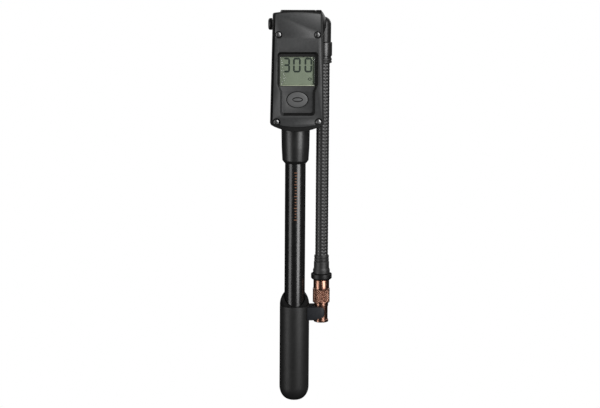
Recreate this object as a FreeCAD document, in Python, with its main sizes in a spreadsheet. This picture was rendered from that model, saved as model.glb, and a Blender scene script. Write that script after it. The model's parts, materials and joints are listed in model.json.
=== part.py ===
"""Digital suspension pump: gauge head, barrel, sliding handle, swivelling hose and chuck.

+Z runs up the barrel, -Y is the side of the gauge's face and +X the side of the hose. The origin is
where the barrel's axis meets the cross axis that the swivel and the bleed valve share. Heights are
measured from the tip of the handle, depths forward of the barrel's axis. Millimetres.
"""

import FreeCAD
import Part
import Sketcher
import math
import os
import re

SIZES = {
    # the frame
    "tip_height": -250.6,
    "cross_axis": 250.6,
    "fit": 0.03,
    # barrel, its collar and the lower guide
    "barrel_radius": 6.5,
    "barrel_bore": 5.0,
    "barrel_bottom": 11.0,
    "barrel_top": 193.0,
    "collar_radius": 9.35,
    "collar_bottom": 159.9,
    "collar_waist": 161.8,
    "collar_taper": 170.4,
    "collar_top": 184.0,
    "barrel_seal_inner": 5.3,
    "barrel_seal_outer": 6.35,
    "guide_radius": 6.3,
    "guide_top": 19.0,
    "guide_lip": 1.5,
    "wiper_radius": 4.2,
    "bumper_top": 21.0,
    # rod and piston
    "rod_radius": 3.0,
    "rod_bottom": 8.5,
    "piston_bottom": 177.5,
    "piston_top": 186.5,
    "piston_socket": 6.0,
    "piston_groove": 4.0,
    "groove_start": 3.5,
    "groove_end": 5.7,
    "screw_length": 8.0,
    # handle
    "handle_radius": 9.8,
    "handle_bore": 6.85,
    "handle_dome": 9.2,
    "dome_radius": 13.0,
    "handle_top": 64.7,
    "hood_bore": 7.5,
    "hood_lip": 6.9,
    "hood_arc": 13.6,
    "hood_top": 73.1,
    "lip_depth": 1.0,
    "lip_taper": 4.4,
    "scoop_height": 72.3,
    "scoop_rise": 1.06,
    "plug_radius": 2.7,
    "plug_depth": 3.4,
    "screw_bore": 1.5,
    "rod_screw_head": 2.5,
    # pump head
    "column_radius": 8.6,
    "head_radius": 9.1,
    "head_left": -10.3,
    "head_right": 12.6,
    "boss_radius": 5.5,
    "boss_left": -14.1,
    "riser_radius": 1.25,
    "chamber_radius": 2.1,
    "chamber_top": 203.5,
    "ball_radius": 1.5,
    "seat_hole": 1.0,
    "seat_bottom": 187.1,
    "check_coil": 1.35,
    "check_wire": 0.2,
    "check_turns": 6,
    "land_bottom": 190.0,
    "land_top": 245.0,
    "land_half": 8.0,
    # gauge case, as seen from the front
    "case_back": 9.6,
    "case_wall": 1.5,
    "case_rim": 15.7,
    "case_face": 17.5,
    "case_top": 259.4,
    "case_shoulder": 258.3,
    "case_half_top": 15.8,
    "case_half_bottom": 17.3,
    "case_corner": 187.0,
    "case_bottom": 182.4,
    "plate_top": 259.0,
    "plate_shoulder": 258.0,
    "plate_half_top": 14.4,
    "plate_half_bottom": 16.0,
    "plate_corner": 188.2,
    "plate_bottom": 185.8,
    "cavity_inset": 1.0,
    "gasket": 0.2,
    # recess in the face plate, display and button
    "recess_floor": 14.9,
    "floor_thick": 1.0,
    "recess_top": 233.7,
    "recess_wide_end": 213.4,
    "recess_narrow_start": 208.2,
    "recess_bottom": 193.0,
    "recess_half_wide": 13.0,
    "recess_half_narrow": 10.8,
    "tub_wall": 0.6,
    "window_half": 11.1,
    "window_bottom": 212.0,
    "window_top": 230.6,
    "button_height": 203.1,
    "button_long": 6.7,
    "button_short": 5.0,
    "button_face": 15.9,
    "button_flange": 0.8,
    "board_front": 12.7,
    "board_back": 11.9,
    "board_half": 13.0,
    "board_bottom": 192.0,
    "board_top": 233.4,
    "sensor_height": 218.0,
    "sensor_radius": 3.4,
    "sensor_stem": 1.4,
    "sensor_hole": 0.5,
    "sensor_tip": 5.4,
    "sensor_seal_back": 7.0,
    "sensor_seal_front": 8.4,
    "cell_height": 246.4,
    "cell_radius": 10.0,
    "cell_thick": 3.2,
    "strap_half": 3.0,
    "strap_bottom": 235.1,
    "strap_top": 251.0,
    "strap_thick": 0.3,
    # screws of the face and of the case
    "upper_screws": 244.8,
    "upper_screw_half": 12.4,
    "lower_screws": 188.8,
    "lower_screw_half": 13.6,
    "screw_head": 1.8,
    "screw_shank": 0.95,
    "cross_half": 1.1,
    "cross_width": 0.25,
    "post_radius": 2.1,
    "upper_sink": 2.0,
    "lower_sink": 2.7,
    "sink_floor": 16.7,
    "upper_case_screw": 230.5,
    "lower_case_screw": 197.0,
    "case_screw_tip": 6.2,
    "case_screw_shank": 1.0,
    "case_screw_head": 1.9,
    "case_screw_cap": 0.7,
    # bleed valve, about the cross axis
    "knob_left": -18.2,
    "knob_right": -15.5,
    "knob_radius": 3.8,
    "bush_bore": 3.0,
    "bush_inner": -8.0,
    "stem_radius": 1.5,
    "stem_flange": 2.3,
    "knob_wall": 1.3,
    "knob_chamfer": 0.8,
    "bleed_coil": 2.0,
    "bleed_wire": 0.25,
    "bleed_turns": 5,
    # swivel and hose
    "spigot_radius": 3.95,
    "spigot_bore": 1.5,
    "spigot_start": 4.2,
    "spigot_end": 20.0,
    "spigot_cap": 1.4,
    "groove_depth": 0.85,
    "seal_left": 4.9,
    "seal_right": 9.9,
    "seal_width": 1.5,
    "pin_groove": 0.9,
    "pin_place": 8.0,
    "pin_radius": 0.75,
    "pin_offset": 4.0,
    "pin_below": 7.0,
    "pin_above": 6.5,
    "hub_left": 12.75,
    "hub_edge": 16.0,
    "hub_right": 19.6,
    "hose_offset": 17.75,
    "hose_radius": 4.15,
    "hose_bore": 2.2,
    "leg_radius": 4.7,
    "leg_bottom": 239.0,
    "ferrule_radius": 5.45,
    "ferrule_neck": 230.2,
    "ferrule_bottom": 228.6,
    "rings_bottom": 225.6,
    "ring_thick": 1.3,
    "ring_gap": 0.4,
    "crimp_web": 1.2,
    "hose_top": 225.3,
    "hose_bottom": 94.2,
    "nipple_bore": 1.2,
    "nipple_bottom": 227.0,
    "nipple_top": 244.0,
    # chuck
    "boot_top": 98.4,
    "boot_ribs": 94.2,
    "boot_flare": 89.9,
    "boot_bulge": 88.8,
    "boot_bottom": 85.9,
    "boot_radius": 4.9,
    "bulge_radius": 5.4,
    "ring_radius": 6.7,
    "ring_bottom": 82.0,
    "ring_chamfer": 0.8,
    "body_radius": 3.4,
    "body_flange": 4.6,
    "body_bore": 1.2,
    "body_tip": 64.6,
    "body_tip_radius": 2.6,
    "body_shoulder": 68.6,
    "body_end": 107.0,
    "sleeve_radius": 5.25,
    "knurl_radius": 5.4,
    "knurl_top": 74.8,
    "sleeve_bottom": 66.4,
    "nut_neck_radius": 4.7,
    "nut_neck": 64.0,
    "nut_radius": 4.4,
    "nut_foot_radius": 4.8,
    "nut_foot_top": 54.7,
    "nut_bottom": 53.15,
    "nut_web": 62.1,
    "nut_web_top": 64.45,
    "valve_radius": 3.9,
    "valve_depth": 7.2,
    "seal_radius": 3.7,
    "pin_bottom": 61.0,
    "pin_top": 78.5,
    # clip on the handle
    "clip_inner": 4.5,
    "clip_outer": 6.4,
    "clip_bottom": 55.2,
    "clip_top": 63.9,
    "clip_opening": 1.9,
}

X_AXIS = FreeCAD.Rotation(FreeCAD.Vector(0, 1, 0), 90)
FRONT_AXIS = FreeCAD.Rotation(FreeCAD.Vector(1, 0, 0), 90)
UP_AXIS = FreeCAD.Rotation()

doc = FreeCAD.newDocument("SuspensionPump")
sheet = doc.addObject("Spreadsheet::Sheet", "Sizes")
NODES = []


def fill_sheet():
    """One row for each driving dimension, with its alias."""
    for row, (name, number) in enumerate(SIZES.items(), start=1):
        sheet.set(f"A{row}", name)
        sheet.set(f"B{row}", str(number))
        sheet.setAlias(f"B{row}", name)
    doc.recompute()


def bound(text):
    """The expression with each alias read from the sheet."""
    return re.sub(r"[a-z][a-z_]+", r"Sizes.\g<0>", text)


def size(text):
    """The number that an expression of aliases gives."""
    return float(sheet.evalExpression(text))


def keep(piece):
    """Marks the object as a sub-part that is written to its own file."""
    NODES.append(piece)
    return piece


def place(piece, turn=UP_AXIS, x="0", y="0", height="0"):
    """Puts a piece that is drawn at the tip of the handle into the row frame."""
    piece.Placement = FreeCAD.Placement(FreeCAD.Vector(), turn)
    piece.setExpression("Placement.Base.x", bound(x))
    piece.setExpression("Placement.Base.y", bound(y))
    piece.setExpression("Placement.Base.z", bound(f"tip_height + {height}"))
    return piece


def plane(body, role):
    return next(f for f in body.Origin.OriginFeatures if f.Role == role)


def sketch_on(body, role, name, offset="0"):
    """An empty sketch on one of the body's origin planes, offset along its normal."""
    sketch = body.newObject("Sketcher::SketchObject", name)
    sketch.AttachmentSupport = (plane(body, role), [""])
    sketch.MapMode = "FlatFace"
    sketch.setExpression("AttachmentOffset.Base.z", bound(offset))
    return sketch


def tie(sketch, geometry, end, across, up):
    """Fixes one end of a line or arc at two sheet distances from the sketch's origin."""
    for kind, text, axis in (("DistanceX", across, -2), ("DistanceY", up, -1)):
        if text == "0":
            sketch.addConstraint(Sketcher.Constraint("PointOnObject", geometry, end, axis))
            continue
        number = size(text)
        index = sketch.addConstraint(Sketcher.Constraint(kind, -1, 1, geometry, end, number))
        sketch.setExpression(f"Constraints[{index}]", bound(text))


def arc_between(start, end, radius):
    """An arc from start to end that bulges to the right of its chord."""
    chord = end - start
    middle = (start + end) * 0.5
    left = FreeCAD.Vector(-chord.y, chord.x, 0).normalize()
    reach = math.sqrt(radius**2 - (chord.Length / 2) ** 2)
    centre = middle + left * reach
    turns = [math.atan2(p.y - centre.y, p.x - centre.x) for p in (start, end)]
    return Part.ArcOfCircle(Part.Circle(centre, FreeCAD.Vector(0, 0, 1), radius), *turns)


def outline(sketch, corners):
    """A closed outline. A corner is (across, up), or (across, up, radius) where an arc starts there.

    The corners run anticlockwise, and each arc bulges outwards.
    """
    points = [FreeCAD.Vector(size(c[0]), size(c[1]), 0) for c in corners]
    for i, corner in enumerate(corners):
        start, end = points[i], points[(i + 1) % len(points)]
        if len(corner) == 3:
            sketch.addGeometry(arc_between(start, end, size(corner[2])), False)
            index = sketch.addConstraint(Sketcher.Constraint("Radius", i, size(corner[2])))
            sketch.setExpression(f"Constraints[{index}]", bound(corner[2]))
        else:
            sketch.addGeometry(Part.LineSegment(start, end), False)
    for i, corner in enumerate(corners):
        following = (i + 1) % len(corners)
        sketch.addConstraint(Sketcher.Constraint("Coincident", i, 2, following, 1))
        tie(sketch, i, 1, corner[0], corner[1])
    return sketch


def circles(sketch, centres, radius):
    """Circles of one radius at sheet distances from the sketch's origin."""
    for i, (across, up) in enumerate(centres):
        middle = FreeCAD.Vector(size(across), size(up), 0)
        sketch.addGeometry(Part.Circle(middle, FreeCAD.Vector(0, 0, 1), size(radius)), False)
        tie(sketch, i, 3, across, up)
        index = sketch.addConstraint(Sketcher.Constraint("Radius", i, size(radius)))
        sketch.setExpression(f"Constraints[{index}]", bound(radius))
    return sketch


def turned(name, corners, turn=UP_AXIS, x="0", height="0"):
    """A body turned about its own axis, from an outline of (radius, height) corners."""
    body = doc.addObject("PartDesign::Body", name)
    sketch = outline(sketch_on(body, "XZ_Plane", f"{name}_profile"), corners)
    revolution = body.newObject("PartDesign::Revolution", f"{name}_turn")
    revolution.Profile = sketch
    revolution.ReferenceAxis = (sketch, ["V_Axis"])
    revolution.Angle = 360
    return place(body, turn, x=x, height=height)


def ring(name, inner, outer, low, high, **where):
    """A turned ring or tube with square corners."""
    corners = [(inner, low), (outer, low), (outer, high), (inner, high)]
    return turned(name, corners, **where)


def pad(body, sketch, length):
    feature = body.newObject("PartDesign::Pad", f"{sketch.Name}_pad")
    feature.Profile = sketch
    feature.setExpression("Length", bound(length))
    return feature


def pocket(body, sketch, length):
    """Cuts from the sketch back towards +Y, and makes sure that it removed something."""
    doc.recompute()
    before = body.Shape.Volume
    feature = body.newObject("PartDesign::Pocket", f"{sketch.Name}_pocket")
    feature.Profile = sketch
    feature.setExpression("Length", bound(length))
    doc.recompute()
    if body.Shape.Volume > before - 1e-6:
        raise RuntimeError(f"{feature.Name} cuts nothing")
    return feature


def mirrored_outline(half_corners):
    """The right half of an outline, from bottom to top, and its mirror image."""
    left = [(f"-({c[0]})", c[1]) for c in reversed(half_corners) if c[0] != "0"]
    return list(half_corners) + left


def block(name, across, depth, height):
    """A box between two distances across, two depths forward of the axis and two heights."""
    box = doc.addObject("Part::Box", name)
    box.setExpression("Length", bound(f"({across[1]}) - ({across[0]})"))
    box.setExpression("Width", bound(f"({depth[1]}) - ({depth[0]})"))
    box.setExpression("Height", bound(f"({height[1]}) - ({height[0]})"))
    return place(box, x=across[0], y=f"-({depth[1]})", height=height[0])


def cylinder(name, radius, start, end, turn=UP_AXIS, x="0", y="0", height="0"):
    """A cylinder along its own axis from start to end."""
    made = doc.addObject("Part::Cylinder", name)
    made.setExpression("Radius", bound(radius))
    made.setExpression("Height", bound(f"({end}) - ({start})"))
    if turn is X_AXIS:
        return place(made, turn, x=f"{x} + ({start})", y=y, height=height)
    if turn is FRONT_AXIS:
        return place(made, turn, x=x, y=f"-({start})", height=height)
    return place(made, turn, x=x, y=y, height=f"{height} + ({start})")


def fused(name, pieces):
    made = doc.addObject("Part::MultiFuse", name)
    made.Shapes = pieces
    return made


def cut(name, base, tool):
    made = doc.addObject("Part::Cut", name)
    made.Base = base
    made.Tool = tool
    return made


def oval(name, grow, back, front):
    """The button's oval, grown all round, between two depths."""
    edge = doc.addObject("Part::Ellipse", f"{name}_edge")
    edge.setExpression("MajorRadius", bound(f"button_long + {grow}"))
    edge.setExpression("MinorRadius", bound(f"button_short + {grow}"))
    place(edge, FRONT_AXIS, y=f"-({back})", height="button_height")
    made = doc.addObject("Part::Extrusion", name)
    made.Base = edge
    made.DirMode = "Custom"
    made.Dir = FreeCAD.Vector(0, -1, 0)
    made.setExpression("LengthFwd", bound(f"({front}) - ({back})"))
    made.Solid = True
    return made


def coil(name, mean_radius, wire, start, end, turns, turn, height):
    """A compression spring, its wire's centre running from start to end along the axis."""
    low, high = size(start) + wire, size(end) - wire
    length = high - low
    helix = Part.makeHelix(length / turns, length, mean_radius)
    section = Part.makeCircle(wire, FreeCAD.Vector(mean_radius, 0, 0), FreeCAD.Vector(0, 1, 0))
    spring = Part.Wire(helix.Edges).makePipeShell([Part.Wire(section)], True, True)
    made = doc.addObject("Part::Feature", name)
    made.Shape = spring
    offset = turn.multVec(FreeCAD.Vector(0, 0, low))
    base = FreeCAD.Vector(0, 0, size("tip_height") + size(height)) + offset
    made.Placement = FreeCAD.Placement(base, turn)
    return made


def group(name, pieces):
    """Several separate solids of one kind in one node."""
    made = doc.addObject("Part::Compound", name)
    made.Links = pieces
    return made


def make_barrel():
    """The barrel with its collar, seal, lower guide, wiper and stop bumper."""
    keep(ring("barrel", "barrel_bore", "barrel_radius", "barrel_bottom", "barrel_top"))
    neck = "barrel_radius + fit"
    keep(turned("barrel_collar", [
        (neck, "collar_bottom"),
        ("collar_radius - 2.45", "collar_bottom"),
        ("collar_radius - 0.75", "collar_waist"),
        ("collar_radius - 0.25", "collar_taper"),
        ("collar_radius", "collar_top"),
        (neck, "collar_top"),
    ]))
    keep(ring("barrel_seal", "barrel_seal_inner", "barrel_seal_outer", "barrel_top", "barrel_top + 1"))
    running = "rod_radius + 2 * fit"
    keep(turned("rod_guide", [
        (running, "barrel_bottom"),
        ("wiper_radius", "barrel_bottom"),
        ("wiper_radius", "barrel_bottom - guide_lip"),
        ("guide_radius", "barrel_bottom - guide_lip"),
        ("guide_radius", "barrel_bottom"),
        ("barrel_bore - fit", "barrel_bottom"),
        ("barrel_bore - fit", "guide_top"),
        (running, "guide_top"),
    ]))
    keep(ring("rod_wiper", "rod_radius + fit", "wiper_radius - fit",
              "barrel_bottom - guide_lip", "barrel_bottom - 0.1"))
    keep(ring("stop_bumper", "rod_radius + 0.3", "barrel_bore - 0.2", "guide_top", "bumper_top"))


def make_check_valve():
    """Seat, ball and spring above the barrel."""
    lift = f"{math.sqrt(SIZES['ball_radius']**2 - SIZES['seat_hole']**2) + SIZES['fit']:.4f}"
    keep(ring("check_seat", "seat_hole", "barrel_bore - fit", "seat_bottom", "barrel_top"))
    ball = doc.addObject("Part::Sphere", "check_ball")
    ball.setExpression("Radius", bound("ball_radius"))
    keep(place(ball, height=f"barrel_top + {lift}"))
    spring_start = f"barrel_top + {lift} + 0.9"
    wound = [SIZES[f"check_{part}"] for part in ("coil", "wire")]
    keep(coil("check_spring", *wound, spring_start, "chamber_top - 0.05", SIZES["check_turns"], UP_AXIS, "0"))


def make_pump():
    """Rod, piston and piston ring."""
    socket = "piston_bottom + piston_socket"
    keep(turned("piston_rod", [
        ("0", socket),
        ("0", "rod_bottom + screw_length + 0.5"),
        ("screw_bore", "rod_bottom + screw_length + 0.5"),
        ("screw_bore", "rod_bottom"),
        ("rod_radius", "rod_bottom"),
        ("rod_radius", socket),
    ]))
    crown = "barrel_bore - 2 * fit"
    keep(turned("piston", [
        ("0", socket),
        ("rod_radius + fit", socket),
        ("rod_radius + fit", "piston_bottom"),
        (crown, "piston_bottom"),
        (crown, "piston_bottom + groove_start"),
        ("piston_groove", "piston_bottom + groove_start"),
        ("piston_groove", "piston_bottom + groove_end"),
        (crown, "piston_bottom + groove_end"),
        (crown, "piston_top"),
        ("0", "piston_top"),
    ]))
    keep(ring("piston_ring", "piston_groove + fit", "barrel_bore - 0.04",
              "piston_bottom + groove_start + 0.1", "piston_bottom + groove_end - 0.1"))


def make_handle():
    """Grip with its domed tip, the hooded mouth, end plug and rod screw."""
    keep(turned("handle_grip", [
        ("plug_radius", "0"),
        ("plug_radius + 0.3", "0", "dome_radius"),
        ("handle_radius", "handle_dome"),
        ("handle_radius", "handle_top"),
        ("handle_bore", "handle_top"),
        ("handle_bore", "rod_bottom"),
        ("screw_bore + fit", "rod_bottom"),
        ("screw_bore + fit", "plug_depth"),
        ("plug_radius", "plug_depth"),
    ]))
    mouth = turned("hood_blank", [
        ("hood_bore", "handle_top"),
        ("handle_radius", "handle_top", "hood_arc"),
        ("hood_lip", "hood_top"),
        ("hood_lip", "hood_top - lip_depth"),
        ("hood_bore", "hood_top - lip_taper"),
    ])
    scoop = doc.addObject("Part::Box", "hood_scoop")
    for side in ("Length", "Width", "Height"):
        scoop.setExpression(side, bound("handle_radius * 3"))
    slope = FreeCAD.Rotation(FreeCAD.Vector(1, 0, 0), math.degrees(math.atan(SIZES["scoop_rise"])))
    place(scoop, slope, x="-handle_radius * 1.5", y="-handle_radius * 2",
          height="scoop_height - scoop_rise * handle_radius * 2")
    keep(cut("handle_hood", mouth, scoop))
    keep(ring("end_plug", "0", "plug_radius - fit", "0.1", "1.2"))
    keep(turned("rod_screw", [
        ("0", "1.3"),
        ("rod_screw_head", "1.3"),
        ("rod_screw_head", "plug_depth"),
        ("screw_bore - fit", "plug_depth"),
        ("screw_bore - fit", "rod_bottom + screw_length"),
        ("0", "rod_bottom + screw_length"),
    ]))


def make_hose_clip():
    """A C-shaped snap clip beside the grip, open away from it."""
    eye = {"x": "hose_offset"}
    beyond = ("clip_bottom - 1", "clip_top + 1")
    across = ("-clip_outer", "clip_outer")
    outer = cylinder("clip_outside", "clip_outer", "clip_bottom", "clip_top", **eye)
    root = block("clip_root", ("0", "hose_offset - clip_inner + 0.6"), across, ("clip_bottom", "clip_top"))
    inside = cylinder("clip_inside", "clip_inner", *beyond, **eye)
    grip = cylinder("clip_seat", "handle_radius + fit", *beyond)
    opening = ("hose_offset + clip_opening", "hose_offset + clip_outer + 1")
    mouth = block("clip_mouth", opening, across, beyond)
    far_side = block("clip_far_side", ("-handle_radius", "0"), ("-handle_radius", "handle_radius"), beyond)
    solid = fused("clip_solid", [outer, root])
    keep(cut("hose_clip", solid, fused("clip_hollows", [inside, grip, mouth, far_side])))


def make_pump_head():
    """The cast head: a column on the barrel, a cross drum for swivel and bleed valve, and a land."""
    cross = {"turn": X_AXIS, "height": "cross_axis"}
    column = cylinder("head_column", "column_radius", "collar_top", "cross_axis")
    drum = cylinder("head_drum", "head_radius", "head_left", "head_right", **cross)
    boss = cylinder("head_boss", "boss_radius", "boss_left", "head_left + 1", **cross)
    land = block("head_land", ("-land_half", "land_half"), ("0", "case_back"), ("land_bottom", "land_top"))
    port = {"turn": FRONT_AXIS, "height": "sensor_height"}
    hollows = [
        cylinder("barrel_socket", "barrel_radius + fit", "collar_top - 1", "barrel_top + 1"),
        cylinder("valve_chamber", "chamber_radius", "barrel_top", "chamber_top"),
        cylinder("riser", "riser_radius", "chamber_top - 1", "cross_axis"),
        cylinder("cross_passage", "riser_radius", "-5", "5", **cross),
        cylinder("spigot_seat", "spigot_radius + 0.05", "4", "head_right + 1", **cross),
        cylinder("bush_hole", "bush_bore", "boss_left - 1", "bush_inner", **cross),
        cylinder("bleed_chamber", "bush_bore - 0.4", "bush_inner - 1", "-3", **cross),
        cylinder("sensor_port", "sensor_stem + 0.6", "5", "case_back + 1", **port),
        cylinder("sensor_drilling", "0.8", "0", "6", **port),
    ]
    for side in ("-pin_offset", "pin_offset"):
        hollows.append(cylinder("pin_hole", "pin_radius + fit", "cross_axis - 2 * pin_below",
                                "cross_axis + pin_above + 0.5", x="pin_place", y=side))
    for level in ("upper_case_screw", "lower_case_screw"):
        hollows.append(cylinder("case_screw_hole", "case_screw_shank + fit", "case_screw_tip - 0.2",
                                "case_back + 1", turn=FRONT_AXIS, height=level))
    solid = fused("head_solid", [column, drum, boss, land])
    keep(cut("pump_head", solid, fused("head_hollows", hollows)))


def shield(kind, inset):
    """The outline of the case or the plate from the front, drawn in by inset all round."""
    low_rise = f"({kind}_corner - {kind}_bottom)"
    high_rise = f"({kind}_top - {kind}_shoulder)"
    bottom = f"(({kind}_half_bottom^2 + {low_rise}^2) / (2 * {low_rise}))"
    top = f"(({kind}_half_top^2 + {high_rise}^2) / (2 * {high_rise}))"
    low_half = f"({kind}_half_bottom - {inset})"
    high_half = f"({kind}_half_top - {inset})"
    low = f"{kind}_bottom + {bottom} - (({bottom} - {inset})^2 - {low_half}^2)^0.5"
    high = f"{kind}_top - {top} + (({top} - {inset})^2 - {high_half}^2)^0.5"
    return [
        (f"-{low_half}", low, f"{bottom} - {inset}"),
        (low_half, low),
        (high_half, high, f"{top} - {inset}"),
        (f"-{high_half}", high),
    ]


UPPER_SCREWS = [(f"{sign}upper_screw_half", "upper_screws") for sign in ("-", "")]
LOWER_SCREWS = [(f"{sign}lower_screw_half", "lower_screws") for sign in ("-", "")]
FACE_SCREWS = UPPER_SCREWS + LOWER_SCREWS
CASE_SCREWS = [("0", "upper_case_screw"), ("0", "lower_case_screw")]


def front(body, name, depth):
    """A sketch seen from the front, at a depth forward of the barrel's axis."""
    return sketch_on(body, "XZ_Plane", name, depth)


def make_gauge_case():
    """The rear shell of the gauge, with four screw posts and the hole for the sensor."""
    body = doc.addObject("PartDesign::Body", "gauge_case")
    deep = "case_rim - case_back - case_wall"
    pad(body, outline(front(body, "case_outside", "case_back"), shield("case", "0")), "case_rim - case_back")
    pocket(body, outline(front(body, "case_inside", "case_rim"), shield("plate", "cavity_inset")), deep)
    pad(body, circles(front(body, "case_posts", "case_back + 1"), FACE_SCREWS, "post_radius"),
        "case_rim - case_back - 1")
    pocket(body, circles(front(body, "case_threads", "case_rim"), FACE_SCREWS, "screw_shank + 0.02"), deep)
    through = "case_rim - case_back + 1"
    sensor = [("0", "sensor_height")]
    opening = circles(front(body, "sensor_opening", "case_rim"), sensor, "sensor_radius + 0.2")
    pocket(body, opening, through)
    holes = circles(front(body, "case_screw_holes", "case_rim"), CASE_SCREWS, "case_screw_shank + 0.05")
    pocket(body, holes, through)
    keep(place(body))


def recess_outline(grow):
    return mirrored_outline([
        (f"recess_half_narrow + {grow}", f"recess_bottom - {grow}"),
        (f"recess_half_narrow + {grow}", "recess_narrow_start"),
        (f"recess_half_wide + {grow}", "recess_wide_end"),
        (f"recess_half_wide + {grow}", f"recess_top + {grow}"),
    ])


def window_outline(gap):
    return mirrored_outline([
        (f"window_half + {gap}", f"window_bottom - {gap}"),
        (f"window_half + {gap}", f"window_top + {gap}"),
    ])


def make_face_plate():
    """The front plate with its stepped tub, display window, button hole and screw holes."""
    body = doc.addObject("PartDesign::Body", "plate_blank")
    floor_back = "recess_floor - floor_thick"
    plate = outline(front(body, "plate_outside", "case_rim + gasket"), shield("plate", "0"))
    pad(body, plate, "case_face - case_rim - gasket")
    tub = outline(front(body, "tub_outside", floor_back), recess_outline("tub_wall"))
    pad(body, tub, f"case_rim + gasket + 0.5 - ({floor_back})")
    recess = outline(front(body, "recess_edge", "case_face"), recess_outline("0"))
    pocket(body, recess, "case_face - recess_floor")
    window = outline(front(body, "window_edge", "case_face"), window_outline("fit"))
    pocket(body, window, f"case_face - ({floor_back}) + 1")
    upper = circles(front(body, "upper_sinks", "case_face"), UPPER_SCREWS, "upper_sink")
    pocket(body, upper, "case_face - sink_floor")
    lower = circles(front(body, "lower_sinks", "case_face"), LOWER_SCREWS, "lower_sink")
    pocket(body, lower, "case_face - sink_floor")
    holes = circles(front(body, "plate_holes", "case_face"), FACE_SCREWS, "screw_shank + 0.05")
    pocket(body, holes, "case_face - case_rim + 1")
    place(body)
    hole = oval("button_hole", "0.2", f"{floor_back} - 1", "recess_floor + 1")
    keep(cut("face_plate", body, hole))


def make_gasket():
    """A thin ring under the plate's edge, with an eye round each screw."""
    body = doc.addObject("PartDesign::Body", "case_gasket")
    pad(body, outline(front(body, "gasket_outside", "case_rim"), shield("plate", "0.4")), "gasket")
    inside = outline(front(body, "gasket_inside", "case_rim + gasket"), shield("plate", "0.9"))
    pocket(body, inside, "gasket + 1")
    pad(body, circles(front(body, "gasket_eyes", "case_rim"), FACE_SCREWS, "post_radius - 0.2"), "gasket")
    holes = circles(front(body, "gasket_holes", "case_rim + gasket"), FACE_SCREWS, "screw_shank + 0.05")
    pocket(body, holes, "gasket + 1")
    keep(place(body))


def make_electronics():
    """Lens, display cell and its frame, board, sensor, coin cell, clip and switch."""
    floor_back = "recess_floor - floor_thick"
    keep(block("lcd_lens", ("-window_half", "window_half"), (floor_back, "recess_floor"),
               ("window_bottom", "window_top")))
    span = ("window_bottom - 1.2", "window_top + 1.2")
    keep(block("lcd_cell", ("-window_half - 0.8", "window_half + 0.8"), ("board_front", floor_back), span))
    rim = block("frame_blank", ("-window_half - 2.2", "window_half + 2.2"), ("board_front", floor_back),
                ("window_bottom - 2.5", "window_top + 2.5"))
    hollow = block("frame_hollow", ("-window_half - 0.85", "window_half + 0.85"),
                   ("board_front - 1", f"{floor_back} + 1"), ("window_bottom - 1.25", "window_top + 1.25"))
    keep(cut("lcd_frame", rim, hollow))
    keep(block("circuit_board", ("-board_half", "board_half"), ("board_back", "board_front"),
               ("board_bottom", "board_top")))
    keep(turned("switch_dome", [
        ("0", "board_front"),
        ("2.5", "board_front"),
        ("1.6", "board_front + 0.3"),
        ("0", "board_front + 0.3"),
    ], turn=FRONT_AXIS, height="button_height"))
    keep(turned("pressure_sensor", [
        ("sensor_hole", "sensor_tip"),
        ("sensor_stem", "sensor_tip"),
        ("sensor_stem", "case_back + 0.1"),
        ("sensor_radius", "case_back + 0.1"),
        ("sensor_radius", "board_back"),
        ("sensor_hole", "board_back"),
    ], turn=FRONT_AXIS, height="sensor_height"))
    keep(ring("sensor_seal", "sensor_stem + fit", "sensor_stem + 0.6 - fit",
              "sensor_seal_back", "sensor_seal_front", turn=FRONT_AXIS, height="sensor_height"))
    back = "case_back + case_wall + 0.1"
    top = f"{back} + cell_thick"
    keep(cylinder("coin_cell", "cell_radius", back, top, turn=FRONT_AXIS, height="cell_height"))
    wide = ("-strap_half", "strap_half")
    strap = block("clip_strap", wide, (top, f"{top} + strap_thick"), ("strap_bottom", "strap_top"))
    leg = block("clip_leg", wide, ("case_back + case_wall", f"{top} + strap_thick"),
                ("strap_bottom", "strap_bottom + 2 * strap_thick"))
    keep(fused("battery_clip", [strap, leg]))


def make_mode_button():
    """Oval cap that travels in the floor of the recess, held by a flange behind it."""
    floor_back = "recess_floor - floor_thick"
    cap = oval("button_cap", "0", f"{floor_back} - 0.1", "button_face")
    flange = oval("button_rim", "button_flange", f"{floor_back} - 0.45", f"{floor_back} - 0.05")
    keep(fused("mode_button", [cap, flange]))


def make_screws():
    """The four screws of the face and the two that hold the case to the head."""
    screws = []
    arms = ("sink_floor + 0.3", "sink_floor + 1")
    for i, (across, level) in enumerate(FACE_SCREWS):
        at = {"turn": FRONT_AXIS, "x": across, "height": level}
        shank = cylinder(f"shank_{i}", "screw_shank", "case_back + 2", "sink_floor + 0.1", **at)
        head = cylinder(f"head_{i}", "screw_head", "sink_floor", "sink_floor + 0.6", **at)
        wide = (f"{across} - cross_half", f"{across} + cross_half")
        thin = (f"{across} - cross_width", f"{across} + cross_width")
        slot = block(f"slot_{i}", wide, arms, (f"{level} - cross_width", f"{level} + cross_width"))
        cross = block(f"cross_{i}", thin, arms, (f"{level} - cross_half", f"{level} + cross_half"))
        blank = fused(f"screw_blank_{i}", [shank, head])
        screws.append(cut(f"screw_{i}", blank, fused(f"recess_{i}", [slot, cross])))
    keep(group("face_screws", screws))
    seat = "case_back + case_wall"
    short = []
    for across, level in CASE_SCREWS:
        short.append(turned(f"{level}_solid", [
            ("0", "case_screw_tip"),
            ("case_screw_shank", "case_screw_tip"),
            ("case_screw_shank", seat),
            ("case_screw_head", seat),
            ("case_screw_head", f"{seat} + case_screw_cap"),
            ("0", f"{seat} + case_screw_cap"),
        ], turn=FRONT_AXIS, height=level))
    keep(group("case_screws", short))


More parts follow.
